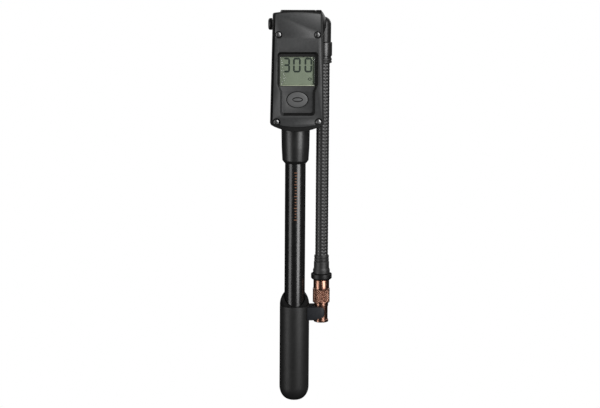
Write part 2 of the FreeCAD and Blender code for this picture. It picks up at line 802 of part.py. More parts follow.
def make_bleed_valve():
    """Push button, stem, bush, seal and spring, all about the cross axis."""
    cross = {"turn": X_AXIS, "height": "cross_axis"}
    keep(turned("bleed_bush", [
        ("stem_radius + 0.1", "bush_inner - 2"),
        ("bush_bore - 0.5", "bush_inner - 2"),
        ("bush_bore - 0.5", "boss_left"),
        ("bush_bore - fit", "boss_left"),
        ("bush_bore - fit", "bush_inner"),
        ("stem_radius + 0.1", "bush_inner"),
    ], **cross))
    inside = "knob_left + knob_wall"
    keep(turned("bleed_knob", [
        ("0", "knob_left"),
        ("knob_radius - knob_chamfer", "knob_left"),
        ("knob_radius", "knob_left + knob_chamfer"),
        ("knob_radius", "knob_right"),
        ("stem_radius + fit", "knob_right"),
        ("stem_radius + fit", inside),
        ("0", inside),
    ], **cross))
    keep(turned("bleed_stem", [
        ("0", inside),
        ("stem_radius", inside),
        ("stem_radius", "bush_inner + 0.8"),
        ("stem_flange", "bush_inner + 0.8"),
        ("stem_flange", "bush_inner + 2"),
        ("0", "bush_inner + 2"),
    ], **cross))
    keep(ring("bleed_seal", "stem_radius + fit", "stem_flange",
              "bush_inner + 0.05", "bush_inner + 0.8", **cross))
    wound = [SIZES[f"bleed_{part}"] for part in ("coil", "wire")]
    keep(coil("bleed_spring", *wound, "knob_right + 0.05", "bush_inner - 2.05",
              SIZES["bleed_turns"], X_AXIS, "cross_axis"))


def make_swivel():
    """Elbow, spigot with its seals, and the two pins that hold the spigot in the head."""
    cross = {"turn": X_AXIS, "height": "cross_axis"}
    on_hose = {"x": "hose_offset"}
    rise = "(hub_right - hub_edge)"
    hub = turned("hub_solid", [
        ("0", "hub_left"),
        ("head_radius", "hub_left"),
        ("head_radius", "hub_edge", f"(head_radius^2 + {rise}^2) / (2 * {rise})"),
        ("0", "hub_right"),
    ], **cross)
    leg = cylinder("leg_solid", "leg_radius", "leg_bottom", "cross_axis", **on_hose)
    crown = doc.addObject("Part::Sphere", "leg_crown")
    crown.setExpression("Radius", bound("leg_radius"))
    place(crown, x="hose_offset", height="cross_axis")
    socket = cylinder("spigot_socket", "spigot_radius - 0.05", "hub_left - 1", "spigot_end + 0.1", **cross)
    channel = cylinder("leg_channel", "hose_bore + fit", "leg_bottom - 1", "cross_axis", **on_hose)
    solid = fused("elbow_solid", [hub, leg, crown])
    keep(cut("swivel_elbow", solid, fused("elbow_hollows", [socket, channel])))
    groove = "spigot_radius - groove_depth"
    shaft = turned("spigot_solid", [
        ("spigot_bore", "spigot_start"),
        ("spigot_radius", "spigot_start"),
        ("spigot_radius", "seal_left"),
        (groove, "seal_left"),
        (groove, "seal_left + seal_width"),
        ("spigot_radius", "seal_left + seal_width"),
        ("spigot_radius", "pin_place - pin_groove"),
        (groove, "pin_place - pin_groove"),
        (groove, "pin_place + pin_groove"),
        ("spigot_radius", "pin_place + pin_groove"),
        ("spigot_radius", "seal_right"),
        (groove, "seal_right"),
        (groove, "seal_right + seal_width"),
        ("spigot_radius", "seal_right + seal_width"),
        ("spigot_radius", "hub_left"),
        ("spigot_radius - 0.1", "hub_left"),
        ("spigot_radius - 0.1", "spigot_end"),
        ("0", "spigot_end"),
        ("0", "spigot_end - spigot_cap"),
        ("spigot_bore", "spigot_end - spigot_cap"),
    ], **cross)
    drilling = cylinder("spigot_drilling", "spigot_bore", "cross_axis - 6", "cross_axis", **on_hose)
    keep(cut("swivel_spigot", shaft, drilling))
    inner = f"{groove} + fit"
    seals = [ring("spigot_seal", inner, "spigot_radius + 0.02",
                  f"{start} + 0.1", f"{start} + seal_width - 0.1", **cross)
             for start in ("seal_left", "seal_right")]
    keep(group("swivel_seals", seals))
    pins = [cylinder("retaining_pin", "pin_radius", "cross_axis - pin_below", "cross_axis + pin_above",
                     x="pin_place", y=side)
            for side in ("-pin_offset", "pin_offset")]
    keep(group("swivel_pins", pins))


def make_hose():
    """Ferrule, ribbed relief, nipple and the braided hose with its clamped root."""
    on_hose = {"x": "hose_offset"}
    sleeve = "hose_radius + fit"
    waist, rib = "ferrule_radius - 0.5", "ferrule_radius - 0.1"
    keep(turned("hose_ferrule", [
        (sleeve, "ferrule_bottom"),
        (waist, "ferrule_bottom"),
        (waist, "ferrule_neck"),
        ("ferrule_radius", "ferrule_neck"),
        ("ferrule_radius", "leg_bottom"),
        ("hose_bore + fit", "leg_bottom"),
        ("hose_bore + fit", "leg_bottom - crimp_web"),
        (sleeve, "leg_bottom - crimp_web"),
    ], **on_hose))
    keep(turned("strain_relief", [
        (sleeve, "rings_bottom"),
        (rib, "rings_bottom"),
        (rib, "rings_bottom + ring_thick"),
        (waist, "rings_bottom + ring_thick"),
        (waist, "rings_bottom + ring_thick + ring_gap"),
        (rib, "rings_bottom + ring_thick + ring_gap"),
        (rib, "ferrule_bottom"),
        (sleeve, "ferrule_bottom"),
    ], **on_hose))
    keep(ring("hose_nipple", "nipple_bore", "hose_bore", "nipple_bottom", "nipple_top", **on_hose))
    keep(ring("hose_root", "hose_bore + fit", "hose_radius",
              "rings_bottom + 0.1", "leg_bottom - crimp_web", **on_hose))
    bend = "hose_top - hose_radius"
    line = cylinder("hose_line", "hose_radius", "hose_bottom", "hose_top", **on_hose)
    shank = block("hose_shank", ("hose_offset - hose_radius", "hose_offset + hose_radius"),
                  ("-hose_radius", "hose_radius"), ("hose_bottom", bend))
    knuckle = cylinder("hose_knuckle", "hose_radius", "-hose_radius", "hose_radius",
                       turn=FRONT_AXIS, x="hose_offset", height=bend)
    shape = doc.addObject("Part::MultiCommon", "hose_shape")
    shape.Shapes = [line, fused("hose_side", [shank, knuckle])]
    lumen = cylinder("hose_lumen", "hose_bore + fit", "hose_bottom - 1", "hose_top + 1", **on_hose)
    keep(cut("hose", shape, lumen))


def make_chuck():
    """Boot, dust ring, chuck body, knurled sleeve, valve nut, seal and depressor pin."""
    on_hose = {"x": "hose_offset"}
    snug = "body_radius + fit"
    rib = "boot_radius - 0.2"
    keep(turned("hose_boot", [
        (snug, "boot_bottom"),
        ("bulge_radius", "boot_bottom"),
        ("bulge_radius", "boot_bulge"),
        ("boot_radius", "boot_flare"),
        ("boot_radius", "boot_ribs"),
        (rib, "boot_ribs"),
        (rib, "boot_top"),
        ("hose_radius + fit", "boot_top"),
        ("hose_radius + fit", "hose_bottom"),
        (snug, "hose_bottom"),
    ], **on_hose))
    keep(turned("dust_ring", [
        ("body_flange + fit", "ring_bottom"),
        ("ring_radius - ring_chamfer", "ring_bottom"),
        ("ring_radius", "ring_bottom + ring_chamfer"),
        ("ring_radius", "boot_bottom"),
        ("body_flange + fit", "boot_bottom"),
    ], **on_hose))
    keep(turned("chuck_body", [
        ("body_bore", "body_tip"),
        ("body_tip_radius", "body_tip"),
        ("body_tip_radius", "body_shoulder"),
        ("body_radius + 0.2", "body_shoulder"),
        ("body_radius + 0.2", "ring_bottom"),
        ("body_flange", "ring_bottom"),
        ("body_flange", "boot_bottom"),
        ("body_radius", "boot_bottom"),
        ("body_radius", "hose_bottom"),
        ("hose_bore", "hose_bottom"),
        ("hose_bore", "body_end"),
        ("body_bore", "body_end"),
    ], **on_hose))
    keep(turned("knurled_sleeve", [
        ("body_tip_radius + 0.15", "sleeve_bottom"),
        ("knurl_radius", "sleeve_bottom"),
        ("knurl_radius", "knurl_top"),
        ("sleeve_radius", "knurl_top"),
        ("sleeve_radius", "ring_bottom - 0.2"),
        ("body_radius + 0.26", "ring_bottom - 0.2"),
        ("body_radius + 0.26", "body_shoulder - 0.1"),
        ("body_tip_radius + 0.15", "body_shoulder - 0.1"),
    ], **on_hose))
    valve_end = "nut_bottom + valve_depth"
    keep(turned("valve_nut", [
        ("valve_radius", "nut_bottom"),
        ("nut_foot_radius", "nut_bottom"),
        ("nut_foot_radius", "nut_foot_top"),
        ("nut_radius", "nut_foot_top"),
        ("nut_radius", "nut_neck"),
        ("nut_neck_radius", "nut_neck"),
        ("nut_neck_radius", "sleeve_bottom - 0.2"),
        ("body_tip_radius + 0.06", "sleeve_bottom - 0.2"),
        ("body_tip_radius + 0.06", "nut_web_top"),
        ("body_bore + 0.1", "nut_web_top"),
        ("body_bore + 0.1", "nut_web"),
        ("seal_radius", "nut_web"),
        ("seal_radius", valve_end),
        ("valve_radius", valve_end),
    ], **on_hose))
    keep(ring("valve_seal", "body_bore + 0.4", "seal_radius - fit",
              f"{valve_end} + 0.1", "nut_web", **on_hose))
    keep(ring("depressor_pin", "0", "body_bore - 0.2", "pin_bottom", "pin_top", **on_hose))


def check_document():
    """Every object is sound, and each sub-part is a valid solid, before anything is written."""
    doc.recompute()
    for item in doc.Objects:
        if {"Invalid", "Error"} & set(item.State):
            raise RuntimeError(f"{item.Label} failed: {item.State}")
    for node in NODES:
        if node.Shape.isNull() or not node.Shape.isValid() or not node.Shape.Solids:
            raise RuntimeError(f"{node.Label} has no valid shape")


def write_parts():
    os.makedirs("parts", exist_ok=True)
    for node in NODES:
        node.Shape.exportStep(f"parts/{node.Label}.step")
    print(len(NODES), "sub-parts written")


fill_sheet()
make_barrel()
make_check_valve()
make_pump()
make_handle()
make_hose_clip()
make_pump_head()
make_gauge_case()
make_face_plate()
make_gasket()
make_electronics()
make_mode_button()
make_screws()
make_bleed_valve()
make_swivel()
make_hose()
make_chuck()
check_document()
write_parts()
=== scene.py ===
"""The looks of the suspension pump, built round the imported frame. Metres, in the frame's own axes.

Heights are measured from the handle's tip in millimetres and turned into the frame by at().
"""

import math
import json

import bmesh
import bpy
from mathutils import Matrix, Vector


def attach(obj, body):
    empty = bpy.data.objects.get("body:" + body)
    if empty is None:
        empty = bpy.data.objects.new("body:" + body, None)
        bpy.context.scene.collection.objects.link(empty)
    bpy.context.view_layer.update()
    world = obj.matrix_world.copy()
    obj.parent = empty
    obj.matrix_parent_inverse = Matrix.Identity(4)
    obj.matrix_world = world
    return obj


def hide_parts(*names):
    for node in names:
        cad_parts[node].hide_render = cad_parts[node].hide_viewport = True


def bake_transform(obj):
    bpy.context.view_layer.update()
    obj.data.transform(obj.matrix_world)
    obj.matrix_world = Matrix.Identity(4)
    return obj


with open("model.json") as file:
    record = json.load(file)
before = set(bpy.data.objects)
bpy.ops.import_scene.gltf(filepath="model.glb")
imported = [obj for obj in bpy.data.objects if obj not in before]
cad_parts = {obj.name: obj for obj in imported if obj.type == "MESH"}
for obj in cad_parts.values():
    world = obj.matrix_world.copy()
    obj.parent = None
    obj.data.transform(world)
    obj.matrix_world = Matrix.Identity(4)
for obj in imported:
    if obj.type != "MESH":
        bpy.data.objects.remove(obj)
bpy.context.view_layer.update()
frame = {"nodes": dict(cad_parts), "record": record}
MM = 0.001
TIP = 250.6  # the frame's origin, on the swivel's cross axis, above the handle's tip
BARREL_RADIUS = 6.78
GRIP_RADIUS = 9.8
HOSE_X = 17.75
HOSE_TOP, HOSE_BOTTOM = 237.6, 94.3
HIGH_SCREW, LOW_SCREW = (12.4, 244.8), (13.6, 188.8)  # across from the middle, and height
KEY_HEIGHT = 203.1


def at(x, depth, height):
    """Millimetres across, forward of the barrel's axis and above the tip, as a point in the frame."""
    return Vector((x * MM, -depth * MM, (height - TIP) * MM))


# ---------------------------------------------------------------- materials


def nodes_of(name):
    """A new material, with its node tree, its shader and the object's coordinates."""
    material = bpy.data.materials.new(name)
    material.use_nodes = True
    tree = material.node_tree
    shader = tree.nodes["Principled BSDF"]
    coords = tree.nodes.new("ShaderNodeTexCoord")
    return material, tree, shader, coords.outputs["Object"]


def noise(tree, vector, scale, detail=3.0, roughness=0.55, stretch=None):
    """A noise value at so many grains per metre, stretched along an axis if asked."""
    if stretch:
        mapping = tree.nodes.new("ShaderNodeMapping")
        mapping.inputs["Scale"].default_value = stretch
        tree.links.new(vector, mapping.inputs["Vector"])
        vector = mapping.outputs["Vector"]
    node = tree.nodes.new("ShaderNodeTexNoise")
    node.inputs["Scale"].default_value = scale
    node.inputs["Detail"].default_value = detail
    node.inputs["Roughness"].default_value = roughness
    tree.links.new(vector, node.inputs["Vector"])
    return node.outputs["Fac"]


def remap(tree, value, low, high, start=0.3, end=0.7):
    """Turns the range from start to end into the range from low to high."""
    node = tree.nodes.new("ShaderNodeMapRange")
    node.inputs["From Min"].default_value = start
    node.inputs["From Max"].default_value = end
    node.inputs["To Min"].default_value = low
    node.inputs["To Max"].default_value = high
    tree.links.new(value, node.inputs["Value"])
    return node.outputs["Result"]


def ramp(tree, value, stops):
    """Turns a value into a colour by (place, colour) stops."""
    node = tree.nodes.new("ShaderNodeValToRGB")
    while len(node.color_ramp.elements) < len(stops):
        node.color_ramp.elements.new(0.5)
    for element, (place, colour) in zip(node.color_ramp.elements, stops):
        element.position = place
        element.color = (*colour, 1)
    tree.links.new(value, node.inputs["Fac"])
    return node.outputs["Color"]


def bump(tree, shader, height, strength, distance):
    node = tree.nodes.new("ShaderNodeBump")
    node.inputs["Strength"].default_value = strength
    node.inputs["Distance"].default_value = distance
    tree.links.new(height, node.inputs["Height"])
    tree.links.new(node.outputs["Normal"], shader.inputs["Normal"])


def edge_wear(tree, colour, light, amount):
    """Mixes a lighter tone into convex edges, where handling polishes them."""
    geometry = tree.nodes.new("ShaderNodeNewGeometry")
    mask = remap(tree, geometry.outputs["Pointiness"], 0.0, amount, 0.51, 0.56)
    mix = tree.nodes.new("ShaderNodeMix")
    mix.data_type = "RGBA"
    tree.links.new(mask, mix.inputs["Factor"])
    tree.links.new(colour, mix.inputs["A"])
    mix.inputs["B"].default_value = (*light, 1)
    return mix.outputs["Result"]


def moulded(name, dark, light, rough, grain=5200, strength=0.25, wear=None, shine=0.5):
    """Moulded plastic, rubber or painted metal: fine grain, soft tone patches and uneven gloss."""
    material, tree, shader, vector = nodes_of(name)
    mottle = 260
    colour = ramp(tree, noise(tree, vector, mottle, 4), [(0.3, dark), (0.7, light)])
    if wear:
        colour = edge_wear(tree, colour, wear, 0.6)
    tree.links.new(colour, shader.inputs["Base Color"])
    fine = noise(tree, vector, grain, 2)
    gloss = remap(tree, noise(tree, vector, mottle * 3, 3), rough - 0.05, rough + 0.05)
    tree.links.new(gloss, shader.inputs["Roughness"])
    bump(tree, shader, fine, strength, 0.02 * MM)
    shader.inputs["Specular IOR Level"].default_value = shine
    return material


def metal(name, dark, light, rough, stretch=(1, 1, 30), scale=900, strength=0.12, spread=0.08, coat=0.0):
    """Turned or drawn metal with fine lines along or round the piece."""
    material, tree, shader, vector = nodes_of(name)
    lines = noise(tree, vector, scale, 4, 0.6, stretch)
    colour = ramp(tree, noise(tree, vector, 300, 3), [(0.3, dark), (0.7, light)])
    tree.links.new(colour, shader.inputs["Base Color"])
    tree.links.new(remap(tree, lines, rough - spread, rough + spread), shader.inputs["Roughness"])
    bump(tree, shader, lines, strength, 0.01 * MM)
    shader.inputs["Metallic"].default_value = 1.0
    shader.inputs["Coat Weight"].default_value = coat
    shader.inputs["Coat Roughness"].default_value = 0.2
    return material


def grey(v, tint=0.0):
    """A grey of so much reflectance, bluer by the tint."""
    return (v * (1 - tint), v, v * (1 + tint))


def clear_material():
    """The window's plastic, nearly all clear."""
    material, tree, shader, vector = nodes_of("clear_window")
    tint = ramp(tree, noise(tree, vector, 160, 2), [(0.3, (0.05, 0.06, 0.05)), (0.7, (0.07, 0.08, 0.07))])
    tree.links.new(tint, shader.inputs["Base Color"])
    tree.links.new(remap(tree, noise(tree, vector, 700, 3), 0.03, 0.09), shader.inputs["Roughness"])
    shader.inputs["Alpha"].default_value = 0.08
    shader.inputs["IOR"].default_value = 1.49
    return material


def display_material():
    """The greenish grey of an unlit liquid-crystal cell."""
    material, tree, shader, vector = nodes_of("display")
    tint = ramp(tree, noise(tree, vector, 90, 3),
                [(0.3, (0.150, 0.185, 0.125)), (0.7, (0.180, 0.215, 0.150))])
    tree.links.new(tint, shader.inputs["Base Color"])
    tree.links.new(remap(tree, noise(tree, vector, 2500, 2), 0.42, 0.55), shader.inputs["Roughness"])
    bump(tree, shader, noise(tree, vector, 9000, 1), 0.05, 0.01 * MM)
    return material


def board_material():
    """Green laminate with fine tracks."""
    material, tree, shader, vector = nodes_of("board")
    brick = tree.nodes.new("ShaderNodeTexBrick")
    brick.inputs["Scale"].default_value = 420
    brick.inputs["Color1"].default_value = (0.02, 0.11, 0.045, 1)
    brick.inputs["Color2"].default_value = (0.03, 0.14, 0.06, 1)
    brick.inputs["Mortar"].default_value = (0.05, 0.20, 0.09, 1)
    tree.links.new(vector, brick.inputs["Vector"])
    tree.links.new(brick.outputs["Color"], shader.inputs["Base Color"])
    tree.links.new(remap(tree, noise(tree, vector, 1500), 0.25, 0.4), shader.inputs["Roughness"])
    return material


LOOK = {
    "head_moulding": moulded("cast_head", grey(0.006), grey(0.009), 0.40, wear=grey(0.02), shine=0.4),
    "case_moulding": moulded("case_plastic", grey(0.004), grey(0.006), 0.45, shine=0.22),
    "face_satin": moulded("face_paint", grey(0.021, 0.02), grey(0.025, 0.02), 0.42,
                          grain=7000, strength=0.15),
    "clear_lens": clear_material(),
    "lcd_glass": display_material(),
    "inner_plastic": moulded("inner_plastic", grey(0.035), grey(0.045), 0.5),
    "board_laminate": board_material(),
    "steel": metal("steel", grey(0.55), grey(0.66), 0.28),
    "screw_steel": metal("screw_steel", grey(0.10), grey(0.17), 0.38, (1, 1, 1)),
    "barrel_gloss": moulded("barrel_lacquer", grey(0.004), grey(0.006), 0.24, grain=1600, strength=0.03),
    "brass": metal("brass", (0.60, 0.44, 0.18), (0.72, 0.55, 0.26), 0.25),
    "grip_satin": moulded("grip_plastic", grey(0.008), grey(0.011), 0.48,
                          grain=4600, strength=0.3, shine=0.32),
    "clip_slate": moulded("clip_plastic", (0.008, 0.009, 0.011), (0.011, 0.012, 0.015), 0.5, shine=0.3),
    "rod_chrome": metal("rod_chrome", grey(0.55), grey(0.62), 0.14, (1, 1, 6),
                        scale=500, strength=0.01, spread=0.02),
    "knob_satin": moulded("knob_plastic", grey(0.010), grey(0.014), 0.36),
    "button_grey": moulded("key_rubber", grey(0.066, 0.01), grey(0.080, 0.01), 0.5, strength=0.2, shine=0.3),
    "ferrule_black": moulded("anodised_black", grey(0.010), grey(0.014), 0.30, grain=2600, strength=0.08),
    "relief_rubber": moulded("relief_rubber", grey(0.007), grey(0.010), 0.5),
    "hose_braid": moulded("braid_yarn", grey(0.012), grey(0.020), 0.45, grain=3000, strength=0.3),
    "ring_rubber": moulded("ring_rubber", grey(0.003), grey(0.005), 0.42, shine=0.3),
    "copper_metal": metal("copper_anodised", (0.22, 0.112, 0.078), (0.31, 0.165, 0.118), 0.27,
                          (1, 1, 26), coat=0.15),
    "seal_rubber": moulded("seal_rubber", grey(0.010), grey(0.014), 0.55),
}


def braid_material():
    """Dark yarn that is lighter where a strand passes over, by the mesh's own fleck value."""
    material, tree, shader, vector = nodes_of("braid")
    attribute = tree.nodes.new("ShaderNodeAttribute")
    attribute.attribute_name = "fleck"
    yarn = noise(tree, vector, 5200, 3)
    total = tree.nodes.new("ShaderNodeMath")
    total.operation = "ADD"
    tree.links.new(attribute.outputs["Fac"], total.inputs[0])
    tree.links.new(remap(tree, yarn, -0.12, 0.12), total.inputs[1])
    colour = ramp(tree, total.outputs[0], [(0.1, grey(0.003)), (0.4, grey(0.010)), (0.9, grey(0.125))])
    tree.links.new(colour, shader.inputs["Base Color"])
    tree.links.new(remap(tree, yarn, 0.38, 0.55), shader.inputs["Roughness"])
    bump(tree, shader, yarn, 0.4, 0.03 * MM)
    return material


def dress_cad():
    """Gives each CAD node the material of its slot in the record."""
    slots = {row["node"]: row["material_slot"] for row in frame["record"]["subparts"]}
    for node, piece in frame["nodes"].items():
        piece.data.materials.clear()
        piece.data.materials.append(LOOK[slots[node]])


# ---------------------------------------------------------------- mesh tools


def rounded(points, radii, steps=5):
    """The closed outline with its corners turned into arcs; radii is one number or one for each corner."""
    if not isinstance(radii, (list, tuple)):
        radii = [radii] * len(points)
    out = []
    count = len(points)
    for i, radius in enumerate(radii):
        here = Vector(points[i]).to_2d()
        before = Vector(points[i - 1]).to_2d() - here
        after = Vector(points[(i + 1) % count]).to_2d() - here
        turn = before.angle(after) if before.length and after.length else math.pi
        if radius <= 0 or turn > math.radians(178):
            out.append(tuple(here))
            continue
        reach = min(radius / math.tan(turn / 2), before.length * 0.48, after.length * 0.48)
        radius = reach * math.tan(turn / 2)
        start = here + before.normalized() * reach
        end = here + after.normalized() * reach
        inward = (before.normalized() + after.normalized()).normalized()
        centre = here + inward * (radius / math.sin(turn / 2))
        first = math.atan2(*(start - centre).yx)
        sweep = math.atan2(*(end - centre).yx) - first
        sweep = (sweep + math.pi) % (2 * math.pi) - math.pi
        for k in range(steps + 1):
            a = first + sweep * k / steps
            out.append((centre.x + radius * math.cos(a), centre.y + radius * math.sin(a)))
    return out


def oblong(left, low, right, high):
    return [(left, low), (right, low), (right, high), (left, high)]


def bridge(bm, a, b):
    """Faces between two closed loops with as many vertices each."""
    for i in range(len(a)):
        n = (i + 1) % len(a)
        bm.faces.new((a[i], a[n], b[n], b[i]))


def closed_mesh(bm, name):
    """The mesh of a closed skin, with its faces turned outward."""
    bmesh.ops.recalc_face_normals(bm, faces=bm.faces)
    mesh = bpy.data.meshes.new(name)
    bm.to_mesh(mesh)
    bm.free()
    return mesh


def new_object(name, mesh):
    piece = bpy.data.objects.new(name, mesh)
    bpy.context.scene.collection.objects.link(piece)
    return piece


def lathe_mesh(name, profile, segments=96, shape=None):
    """Turns a closed (radius, height) outline about the vertical.

    shape(radius, turn, height) gives the radius at a point, where the piece isn't round.
    """
    bm = bmesh.new()
    rings = []
    for radius, height in profile:
        if radius < 1e-6:
            rings.append([bm.verts.new((0, 0, height * MM))])
            continue
        ring = []
        for k in range(segments):
            turn = 2 * math.pi * k / segments
            r = shape(radius, turn, height) if shape else radius
            ring.append(bm.verts.new((r * math.cos(turn) * MM, r * math.sin(turn) * MM, height * MM)))
        rings.append(ring)
    for a, b in zip(rings, rings[1:] + rings[:1]):
        if len(a) == 1 and len(b) == 1:
            continue
        if len(a) > 1 and len(b) > 1:
            bridge(bm, a, b)
            continue
        for k in range(segments):
            n = (k + 1) % segments
            bm.faces.new((a[0], b[n], b[k]) if len(a) == 1 else (a[k], a[n], b[0]))
    return closed_mesh(bm, name)


def lathe(name, profile, x=0.0, base=0.0, axis="Z", **options):
    """A turned piece: about the vertical at x, about the cross axis, or facing forward at x and base."""
    piece = new_object(name, lathe_mesh(name, profile, **options))
    if axis == "Z":
        piece.data.transform(Matrix.Translation(at(x, 0, base)))
    elif axis == "X":
        piece.data.transform(Matrix.Rotation(math.radians(90), 4, "Y"))
    else:
        piece.data.transform(Matrix.Translation(at(x, 0, base)) @ Matrix.Rotation(math.radians(90), 4, "X"))
    return piece


def prism(name, outline, back, face):
    """An outline of (across, height) between two depths."""
    bm = bmesh.new()
    low = [bm.verts.new(at(x, back, z)) for x, z in outline]
    high = [bm.verts.new(at(x, face, z)) for x, z in outline]
    bm.faces.new(low)
    bm.faces.new(reversed(high))
    for i in range(len(outline)):
        n = (i + 1) % len(outline)
        bm.faces.new((low[n], low[i], high[i], high[n]))
    return new_object(name, closed_mesh(bm, name))


def funnel(name, inner, outer, back, face, beyond=1.0):
    """A cutter whose outline grows from inner at the back to outer at the face, and goes on beyond it."""
    bm = bmesh.new()
    loops = [[bm.verts.new(at(x, depth, z)) for x, z in outline]
             for outline, depth in ((inner, back), (outer, face), (outer, face + beyond))]
    bm.faces.new(loops[0])
    bm.faces.new(reversed(loops[-1]))
    for a, b in zip(loops, loops[1:]):
        bridge(bm, b, a)
    return new_object(name, closed_mesh(bm, name))


def ellipse(half_wide, half_high, height, steps=72, x=0.0):
    """The (across, height) points of an ellipse round x and height."""
    turns = [2 * math.pi * k / steps for k in range(steps)]
    return [(x + half_wide * math.cos(a), height + half_high * math.sin(a)) for a in turns]


def settle(piece):
    """Applies the piece's modifiers to its mesh."""
    graph = bpy.context.evaluated_depsgraph_get()
    mesh = bpy.data.meshes.new_from_object(piece.evaluated_get(graph))
    piece.modifiers.clear()
    piece.data = mesh
    return piece


def combine(piece, tools, operation="DIFFERENCE"):
    """Cuts, adds or intersects the piece with each tool in turn, and uses the tools up."""
    for tool in tools:
        modifier = piece.modifiers.new("boolean", "BOOLEAN")
        modifier.operation = operation
        modifier.solver = "EXACT"
        modifier.object = tool
        settle(piece)
        bpy.data.objects.remove(tool)
    return piece


def bevel(piece, width, segments=3, angle=32):
    """Rounds the edges that turn by more than the angle."""
    modifier = piece.modifiers.new("bevel", "BEVEL")
    modifier.width = width * MM
    modifier.segments = segments
    modifier.limit_method = "ANGLE"
    modifier.angle_limit = math.radians(angle)
    modifier.harden_normals = False
    modifier.use_clamp_overlap = True
    return settle(piece)


def join(piece, others):
    """Puts the other pieces' faces into this one."""
    bm = bmesh.new()
    bm.from_mesh(piece.data)
    for other in others:
        bm.from_mesh(other.data)
        bpy.data.objects.remove(other)
    bm.to_mesh(piece.data)
    bm.free()
    return piece


def melt(piece, voxel, rounds=6):
    """One continuous skin with soft fillets, as a casting has."""
    modifier = piece.modifiers.new("remesh", "REMESH")
    modifier.mode = "VOXEL"
    modifier.voxel_size = voxel * MM
    smooth = piece.modifiers.new("smooth", "SMOOTH")
    smooth.factor = 0.5
    smooth.iterations = rounds
    return settle(piece)


def show(piece, body, slot, stands_for=(), crisp=34, finish=None):
    """Shades the piece, gives it its material, ties it to its body and hides the CAD nodes it stands for."""
    piece.data.materials.clear()
    piece.data.materials.append(finish or LOOK[slot])
    for polygon in piece.data.polygons:
        polygon.use_smooth = True
    piece.data.set_sharp_from_angle(angle=math.radians(crisp))
    if body:
        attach(piece, body)
    if stands_for:
        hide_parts(*stands_for)
    return piece


# ---------------------------------------------------------------- camera and light

AIM_ACROSS, AIM_HEIGHT = 3.2, TIP - 118.1
CAMERA_AZIMUTH, CAMERA_ELEVATION, CAMERA_ROLL = -4.0, 9.8, 0.39
CAMERA_DISTANCE = 1.1
LENS = 100.2


def direction(azimuth, elevation):
    """The way from the pump to a place at this azimuth and elevation, in degrees; 0, 0 is its front."""
    a, e = math.radians(azimuth), math.radians(elevation)
    return Vector((math.sin(a) * math.cos(e), -math.cos(a) * math.cos(e), math.sin(e)))


def make_camera():
    back = direction(CAMERA_AZIMUTH, CAMERA_ELEVATION)
    right = (-back).cross(Vector((0, 0, 1))).normalized()
    up = right.cross(-back)
    roll = math.radians(CAMERA_ROLL)
    axes = (right * math.cos(roll) + up * math.sin(roll), up * math.cos(roll) - right * math.sin(roll), back)
    data = bpy.data.cameras.new("camera")
    data.sensor_width = 36
    data.lens = LENS
    camera = bpy.data.objects.new("camera", data)
    matrix = Matrix(axes).transposed().to_4x4()
    matrix.translation = at(AIM_ACROSS, 0, AIM_HEIGHT) + back * CAMERA_DISTANCE
    camera.matrix_world = matrix
    bpy.context.scene.collection.objects.link(camera)
    bpy.context.scene.camera = camera


def soft_box(name, azimuth, elevation, distance, wide, high, power):
    """A rectangular lamp that looks at the pump's middle; metres and watts."""
    data = bpy.data.lights.new(name, "AREA")
    data.shape = "RECTANGLE"
    data.size = wide
    data.size_y = high
    data.energy = power
    lamp = bpy.data.objects.new(name, data)
    out = direction(azimuth, elevation)
    lamp.location = at(0, 0, 132.0) + out * distance
    lamp.rotation_euler = out.to_track_quat("Z", "Y").to_euler()
    bpy.context.scene.collection.objects.link(lamp)


def make_studio():
    """The camera, four soft boxes and a world that the camera sees as white and the pump as nearly dark."""
    make_camera()
    soft_box("left_box", azimuth=-59, elevation=2, distance=0.9, wide=0.42, high=1.1, power=5.5)
    soft_box("right_box", azimuth=35, elevation=18, distance=0.9, wide=0.46, high=1.05, power=12.5)
    soft_box("back_left", azimuth=-150, elevation=25, distance=1.2, wide=0.8, high=0.8, power=2.5)
    soft_box("back_right", azimuth=140, elevation=25, distance=1.2, wide=0.8, high=0.8, power=2.5)
    world = bpy.data.worlds.new("world")
    bpy.context.scene.world = world
    world.use_nodes = True
    tree = world.node_tree
    backdrop = tree.nodes["Background"]
    path = tree.nodes.new("ShaderNodeLightPath")
    level = tree.nodes.new("ShaderNodeMapRange")
    level.inputs["To Min"].default_value = 0.02
    level.inputs["To Max"].default_value = 1.0
    tree.links.new(path.outputs["Is Camera Ray"], level.inputs["Value"])
    tree.links.new(level.outputs["Result"], backdrop.inputs["Strength"])
    backdrop.inputs["Color"].default_value = (1, 1, 1, 1)
    bpy.context.scene.view_settings.view_transform = "Standard"


# ---------------------------------------------------------------- head, case and face


def shield(half_top, half_low, top, shoulder, corner, bottom, steps=28):
    """The case's outline from the front: straight sides, a shallow crown and a deeper bowed foot."""
    rise = corner - bottom
    low_radius = (half_low**2 + rise**2) / (2 * rise)
    drop = top - shoulder
    top_radius = (half_top**2 + drop**2) / (2 * drop)
    points = []
    for k in range(steps + 1):
        x = -half_low + 2 * half_low * k / steps
        points.append((x, bottom + low_radius - math.sqrt(low_radius**2 - x * x)))
    for k in range(steps + 1):
        x = half_top - 2 * half_top * k / steps
        points.append((x, top - top_radius + math.sqrt(top_radius**2 - x * x)))
    return points


def corner_round(outline, radii):
    """Rounds the four corners of a shield, given low left, low right, high right, high left."""
    steps = len(outline) // 2
    marks = {0: radii[0], steps - 1: radii[1], steps: radii[2], len(outline) - 1: radii[3]}
    return rounded(outline, [marks.get(i, 0) for i in range(len(outline))], 6)


